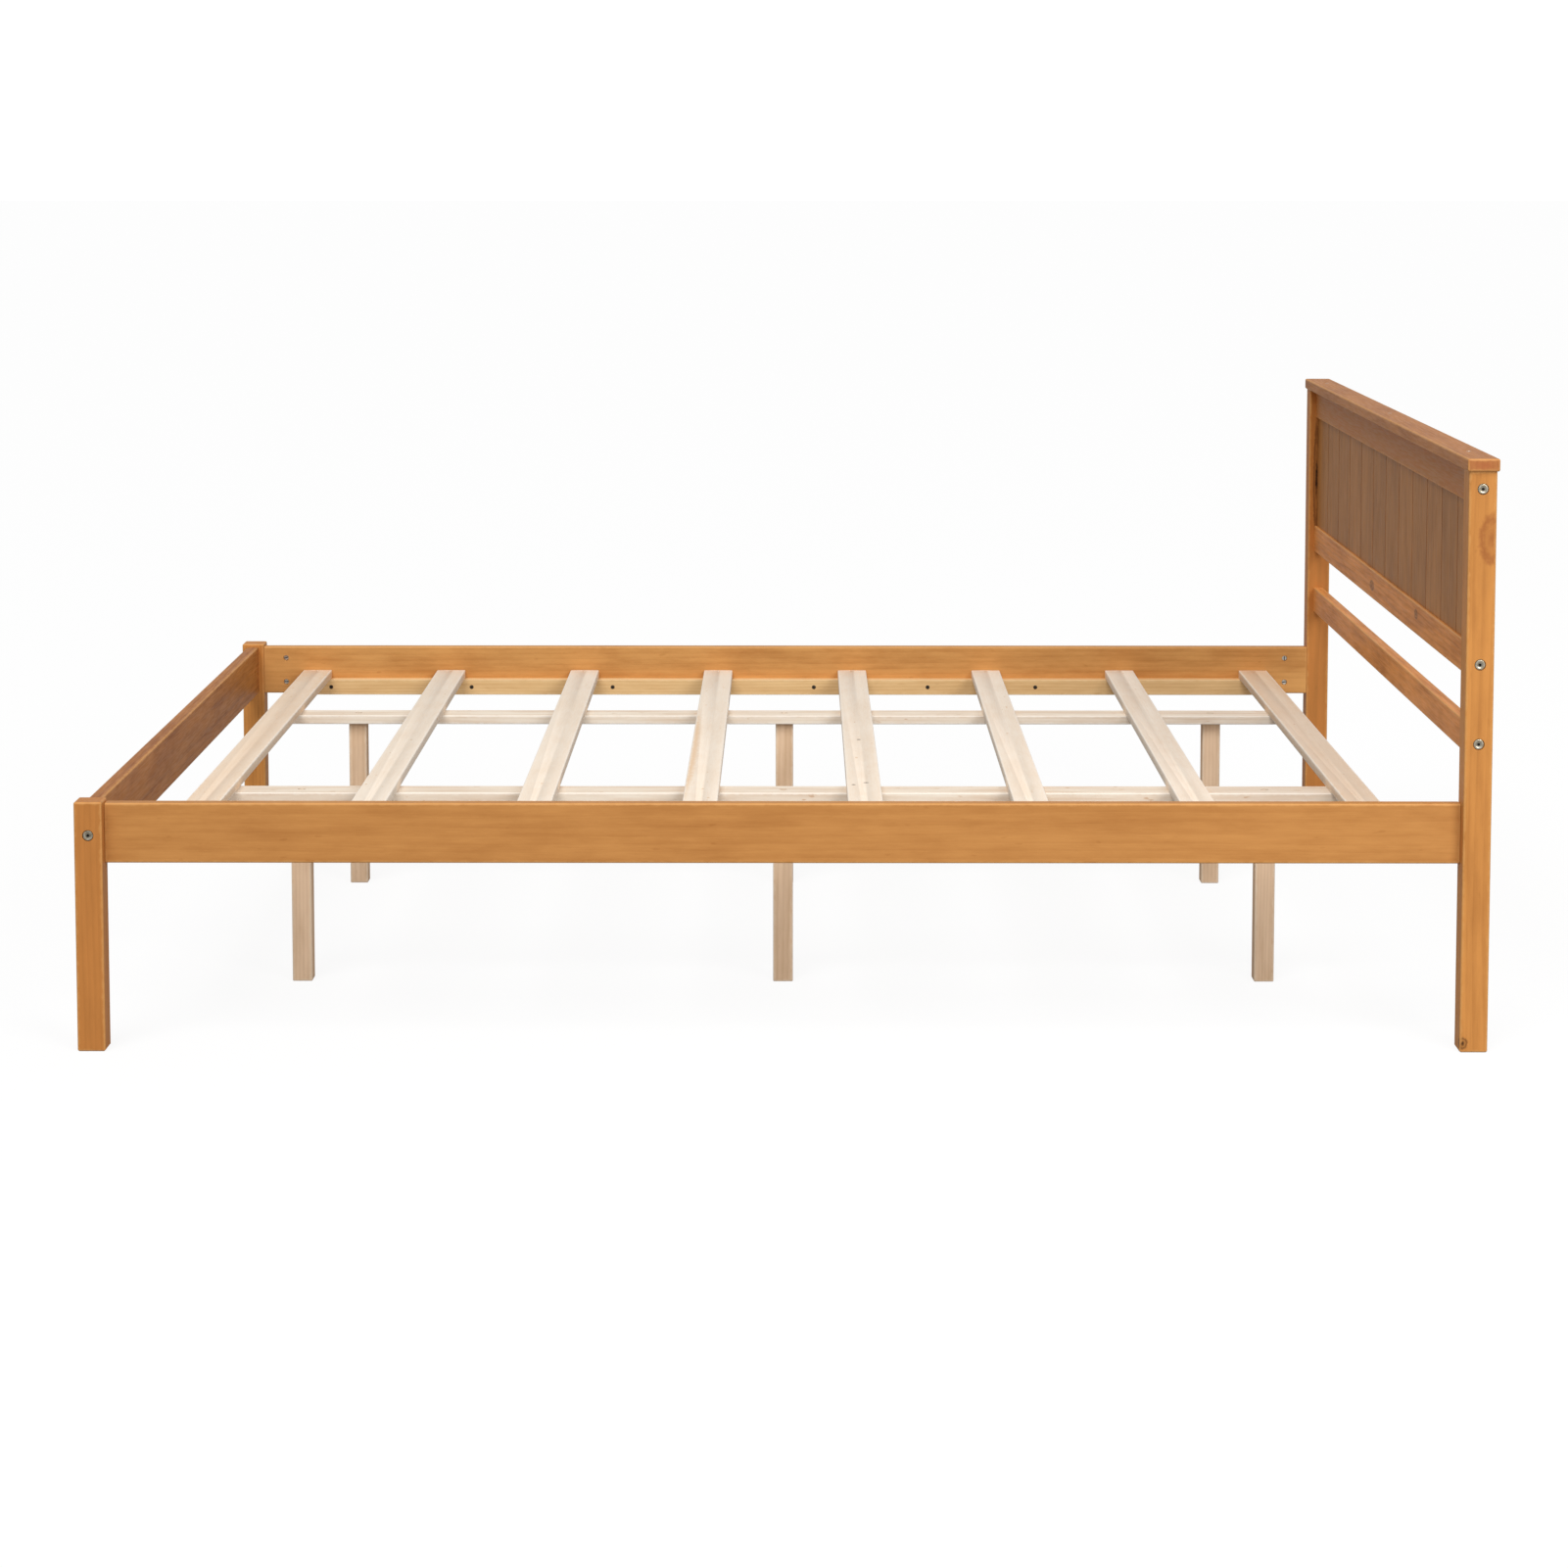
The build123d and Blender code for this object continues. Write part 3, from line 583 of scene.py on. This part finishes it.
def places_tree():
    """Sets a piece at each of some points, with its own Z along the point's inward direction."""
    tree, given, out = geometry_group("pieces_at_places", {
        "Places": "Object", "Turn": "Float", "Seed": "Int", "Material": "Material"})
    points = add(tree, "GeometryNodeObjectInfo", {"Object": given["Places"]}).outputs["Geometry"]
    inward = add(tree, "GeometryNodeInputNamedAttribute", {"Name": "inward"}, data_type="FLOAT_VECTOR")
    inward = inward.outputs[0]
    aimed = add(tree, "FunctionNodeAlignRotationToVector", {"Vector": inward}, axis="Z").outputs[0]
    angle = add(tree, "FunctionNodeRandomValue", {"Max": given["Turn"], "Seed": given["Seed"]}).outputs[1]
    spin = add(tree, "ShaderNodeCombineXYZ", {"Z": angle}).outputs[0]
    spin = add(tree, "FunctionNodeEulerToRotation", {0: spin}).outputs[0]
    rotation = add(tree, "FunctionNodeRotateRotation", {0: aimed, 1: spin}, rotation_space="LOCAL").outputs[0]
    piece = keep_local(tree, given["Geometry"])
    copies = add(tree, "GeometryNodeInstanceOnPoints", {
        "Points": points, "Instance": piece, "Rotation": rotation}).outputs[0]
    finish_copies(tree, copies, given, out)
    return tree


def at_places(name, mesh, nodes, material, places, turn=0.0, seed=0):
    """One copy of a piece at each place, which is a point and the direction of the piece's Z there."""
    marks = bpy.data.meshes.new(name + "_places")
    marks.from_pydata([point for point, inward in places], [], [])
    directions = marks.attributes.new("inward", "FLOAT_VECTOR", "POINT")
    for n, (point, inward) in enumerate(places):
        directions.data[n].vector = inward
    holder = bpy.data.objects.new(name + "_places", marks)
    scene.collection.objects.link(holder)
    piece = repeated(name, mesh, pieces_at_places, nodes, {
        "Places": holder, "Turn": turn, "Seed": seed, "Material": material})
    bpy.data.objects.remove(holder)
    return piece


pieces_at_places = places_tree()

leg_nodes = [f"support_leg_{hand}_{place}"
             for hand in ("left", "right") for place in ("foot", "middle", "head")]
leg_low, leg_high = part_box(leg_nodes[0])
leg_half = (leg_high.x - leg_low.x) / 2
leg_box = (Vector((-leg_half, -leg_half, 0.0)), Vector((leg_half, leg_half, leg_high.z)))
leg_places = []
for node in leg_nodes:
    low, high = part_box(node)
    leg_places.append(((low.x + leg_half, low.y + leg_half, 0.0), (0.0, 0.0, 1.0)))
leg_wood = pine("support_legs", "z", leg_box, (0.84, 0.61, 0.42), (0.60, 0.39, 0.23), (0.03, 0.05, 0.0),
                edge=(0.86, 0.69, 0.52), tone=0.08, lacquer=0.0, relief=0.2, figure={
                    **rough_sawn, "Ring Gap": 0.006, "Ring Strength": 0.22, "Streak Strength": 0.35,
                    "Blotch Strength": 0.25, "Fibre Strength": 0.10})
leg_mesh = eased_block("leg", leg_box[0], leg_box[1], slat_edge_radius)
at_places("support_legs", leg_mesh, leg_nodes, leg_wood, leg_places)

# ---- Bolts -----------------------------------------------------------------------------------
# Zinc-plated bolts with a flat round head and a hexagon socket, through the posts into the rails,
# and ones with a narrower head down through the beams into the legs.


def hexagon(across):
    return lambda angle: across / 2 / cos(angle % (pi / 3) - pi / 6)


def plated(name, colour, dull, metal=1.0, low=0.25, high=0.42):
    """Plated steel: cloudy tone and a fine, uneven gloss, with painted shade near black in its sockets and
    recesses.
    """
    material = bpy.data.materials.new(name)
    material.use_nodes = True
    tree = material.node_tree
    shader = tree.nodes["Principled BSDF"]
    where = add(tree, "ShaderNodeTexCoord").outputs["Object"]
    cloud = add(tree, "ShaderNodeTexNoise", {"Vector": where, "Scale": 260.0, "Detail": 3.0}).outputs["Fac"]
    share = ramp_of(tree, cloud, 0.35, 0.7)
    # Painted shade: from 0.1 to 0.9 mm below the top of the head the plating fades to near black, so sockets,
    # slots and recesses read dark
    local = add(tree, "ShaderNodeAttribute", attribute_name="local").outputs["Vector"]
    depth = add(tree, "ShaderNodeSeparateXYZ", {0: local}).outputs["Z"]
    painted_recess_shade = ramp_of(tree, depth, 0.1 * mm, 0.9 * mm)
    plating = blend_of(tree, share, (*colour, 1.0), (*dull, 1.0))
    tree.links.new(blend_of(tree, painted_recess_shade, plating, (0.03, 0.025, 0.02, 1.0)), shader.inputs["Base Color"])
    grit = add(tree, "ShaderNodeTexNoise", {"Vector": where, "Scale": 1400.0, "Detail": 2.0}).outputs["Fac"]
    rough = add(tree, "ShaderNodeMapRange", {"Value": grit, "To Min": low, "To Max": high}).outputs["Result"]
    tree.links.new(rough, shader.inputs["Roughness"])
    bump = add(tree, "ShaderNodeBump", {"Height": grit, "Strength": 0.1, "Distance": 0.1 * mm})
    tree.links.new(bump.outputs[0], shader.inputs["Normal"])
    shader.inputs["Metallic"].default_value = metal
    return material


def solids_of(node):
    """The lowest and highest corners of each separate solid in a CAD node."""
    shape = bmesh.new()
    shape.from_mesh(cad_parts[node].data)
    bmesh.ops.remove_doubles(shape, verts=shape.verts, dist=1e-6)
    waiting, found = set(shape.verts), []
    while waiting:
        edge_of_search = [waiting.pop()]
        island = list(edge_of_search)
        while edge_of_search:
            for edge in edge_of_search.pop().link_edges:
                for vert in edge.verts:
                    if vert in waiting:
                        waiting.discard(vert)
                        edge_of_search.append(vert)
                        island.append(vert)
        found.append(tuple(Vector(pick(v.co[k] for v in island) for k in range(3)) for pick in (min, max)))
    shape.free()
    return sorted(found, key=lambda box: [round(c, 4) for c in (*box[0], *box[1])])


def head_places(node, axis, way):
    """Where each fastener's head is, and the direction in from it. Way says it is from a solid's middle."""
    places = []
    for low, high in solids_of(node):
        middle = (low + high) / 2
        inward = Vector((0.0, 0.0, 0.0))
        inward[axis] = way(middle)
        places.append((middle - inward * (high[axis] - low[axis]) / 2, inward))
    return places


def to_middle(axis):
    return lambda middle: -1.0 if middle[axis] > 0 else 1.0


def bolt_shape(name, head, head_height, shank, length, socket, socket_depth):
    edge = 0.5 * mm
    dish = 0.45 * mm
    return turned(name, (
        (hexagon(socket), socket_depth), (hexagon(socket), dish), (circle(head * 0.48), dish),
        (circle(head * 0.58), dish * 0.6), (circle(head * 0.66), 0.0),
        (circle(head - 2 * edge), 0.0), (circle(head - 0.6 * edge), 0.3 * edge), (circle(head), edge),
        (circle(head), head_height), (circle(shank), head_height), (circle(shank), length - shank / 8),
        (circle(shank * 0.75), length)))


bolt_head_height, bolt_shank = 3.0 * mm, 6.0 * mm
bolt_socket, bolt_socket_depth = 4.0 * mm, 2.2 * mm
zinc = plated("bright_zinc", (0.72, 0.66, 0.53), (0.46, 0.39, 0.27))
for node, axis, way in (
    ("side_rail_bolts", 0, to_middle(0)),
    ("foot_rail_bolts", 1, to_middle(1)),
    ("headboard_bolts", 1, to_middle(1)),
    ("leg_bolts", 2, lambda middle: -1.0),
):
    low, high = solids_of(node)[0]
    head_width = sorted(high - low)[0]
    bolt_mesh = bolt_shape(node, head_width, bolt_head_height, bolt_shank, max(high - low),
                           bolt_socket, bolt_socket_depth)
    at_places(node + "_zinc", bolt_mesh, [node], zinc, head_places(node, axis, way), 2 * pi, 3)

# ---- Barrel nuts -----------------------------------------------------------------------------
# Round cross nuts that lie in the thickness of each rail and take the bolts. Only one end shows,
# with a driver slot in it: inside the side and foot rails, and on the back of the headboard's.


def slotted(length, width):
    def radius(angle):
        folded = abs((angle + pi / 2) % pi - pi / 2)
        return min(length / 2 / max(cos(folded), 1e-6), width / 2 / max(sin(folded), 1e-6))
    return radius


bright = plated("pale_zinc", (0.92, 0.89, 0.82), (0.74, 0.70, 0.60))
nut_width, nut_length = 10.0 * mm, 16.0 * mm
slot_shape = slotted(8.0 * mm, 1.6 * mm)
for node, axis, way in (
    ("side_rail_barrel_nuts", 1, lambda middle: 1.0 if middle.y > 0 else -1.0),
    ("foot_rail_barrel_nuts", 0, lambda middle: -1.0),
    ("headboard_barrel_nuts", 0, lambda middle: -1.0),
):
    nut_mesh = turned(node, (
        (slot_shape, 1.5 * mm), (slot_shape, 0.0), (circle(nut_width - 1.2 * mm), 0.0),
        (circle(nut_width), 0.6 * mm), (circle(nut_width), nut_length)))
    at_places(node + "_zinc", nut_mesh, [node], bright, head_places(node, axis, way), 2 * pi, 8)

# ---- Wood screws -----------------------------------------------------------------------------
# Countersunk cross-head screws: zinc ones through the slats, up through the beams and down through
# the cap, and black ones through the cleats into the side rails.


def crossed(length, width):
    def radius(angle):
        folded = abs((angle + pi / 4) % (pi / 2) - pi / 4)
        return min(length / 2 / cos(folded), width / 2 / max(sin(folded), 1e-6))
    return radius


def screw_shape(name, length):
    head, shank, tip, point = 8.0 * mm, 4.0 * mm, 0.4 * mm, 4.0 * mm
    recess = crossed(4.4 * mm, 1.2 * mm)
    recess_floor = crossed(2.4 * mm, 0.7 * mm)
    return turned(name, (
        (recess_floor, 1.4 * mm), (recess, 0.0), (circle(head - 0.4 * mm), 0.0), (circle(head), 0.1 * mm),
        (circle(shank), 2.1 * mm), (circle(shank), length - point), (circle(tip), length)))


black = plated("black_steel", (0.10, 0.075, 0.05), (0.05, 0.035, 0.025), 0.6, 0.4, 0.6)
for node, axis, way, slot, finish in (
    ("slat_screws", 2, lambda middle: -1.0, "zinc_steel", bright),
    ("beam_screws", 2, lambda middle: 1.0, "zinc_steel", bright),
    ("cap_screws", 2, lambda middle: -1.0, "zinc_steel", bright),
    ("cleat_screws", 1, lambda middle: 1.0 if middle.y > 0 else -1.0, "black_steel", black),
):
    low, high = solids_of(node)[0]
    at_places(node + "_steel", screw_shape(node, max(high - low)), [node], finish,
              head_places(node, axis, way), 2 * pi, 21)

# ---- Dowels ----------------------------------------------------------------------------------
# Plain beech dowels that register the foot rail and the headboard rails in the posts. They are
# hidden once the bed is bolted up.
for node in ("foot_rail_dowels", "headboard_dowels"):
    dress(node, pine(node, "y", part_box(node), (0.66, 0.48, 0.30), (0.52, 0.34, 0.19), (0.1, 0.05, 0.3),
                     lacquer=0.0, figure={"Ring Gap": 0.003, **rough_sawn}))

# ---- Studio ----------------------------------------------------------------------------------
# A plain white floor in an even white room, with a broad soft light from the front and above and a
# weaker one at the head end. The camera looks across the bed from its side.
floor_mesh = bpy.data.meshes.new("floor")
reach = 60.0
floor_shading, floor_bounce = 0.12, 0.36
room_light, room_seen = 0.45, 1.05
floor_corners = [(-reach, -reach, 0.0), (reach, -reach, 0.0), (reach, reach, 0.0), (-reach, reach, 0.0)]
floor_mesh.from_pydata(floor_corners, [], [(0, 1, 2, 3)])
floor = bpy.data.objects.new("floor", floor_mesh)
scene.collection.objects.link(floor)
floor_paint = bpy.data.materials.new("floor_paint")
floor_paint.use_nodes = True
paint = floor_paint.node_tree
paint.nodes.clear()
seen = add(paint, "ShaderNodeLightPath").outputs["Is Camera Ray"]
white = add(paint, "ShaderNodeBsdfDiffuse", {"Color": (1.0, 1.0, 1.0, 1.0)}).outputs[0]
glow = add(paint, "ShaderNodeEmission", {"Color": (1.0, 1.0, 1.0, 1.0)}).outputs[0]
pale = add(paint, "ShaderNodeMixShader", {0: floor_shading, 1: glow, 2: white}).outputs[0]
soft_grey = (floor_bounce, floor_bounce, floor_bounce, 1.0)
soft = add(paint, "ShaderNodeBsdfDiffuse", {"Color": soft_grey}).outputs[0]
paint_out = add(paint, "ShaderNodeMixShader", {0: seen, 1: soft, 2: pale}).outputs[0]
paint.links.new(paint_out, add(paint, "ShaderNodeOutputMaterial").inputs["Surface"])
floor_mesh.materials.append(floor_paint)

room = bpy.data.worlds.new("room")
room.use_nodes = True
walls = room.node_tree
walls.nodes.clear()
seen = add(walls, "ShaderNodeLightPath").outputs["Is Camera Ray"]
strength = add(walls, "ShaderNodeMapRange", {"Value": seen, "To Min": room_light, "To Max": room_seen})
strength = strength.outputs["Result"]
background = add(walls, "ShaderNodeBackground", {"Color": (1.0, 1.0, 1.0, 1.0), "Strength": strength})
walls.links.new(background.outputs[0], add(walls, "ShaderNodeOutputWorld").inputs["Surface"])
scene.world = room

softbox = bpy.data.lights.new("softbox", "SUN")
softbox.energy = 1.6
softbox.angle = radians(32)
softbox_object = bpy.data.objects.new("softbox", softbox)
softbox_object.rotation_euler = Vector((-0.3, -0.8, 1.2)).to_track_quat("Z", "Y").to_euler()
scene.collection.objects.link(softbox_object)

side_light = bpy.data.lights.new("side_light", "AREA")
side_light.energy = 200.0
side_light.size = 3.0
side_light_object = bpy.data.objects.new("side_light", side_light)
side_light_object.location = (3.2, -5.5, 3.5)
side_light_object.rotation_euler = Vector((2.9, -5.0, 3.1)).to_track_quat("Z", "Y").to_euler()
scene.collection.objects.link(side_light_object)

camera = bpy.data.cameras.new("camera")
camera.lens = 79.368
camera.sensor_width = 36.0
camera.shift_y = -0.2252
camera.clip_end = 100.0
camera_object = bpy.data.objects.new("camera", camera)
camera_object.location = (0.01784, -5.90095, 1.38235)
camera_object.rotation_euler = (pi / 2 - 0.08755, 0.0, 0.00321)
scene.collection.objects.link(camera_object)
scene.camera = camera_object
scene.view_settings.view_transform = "Standard"
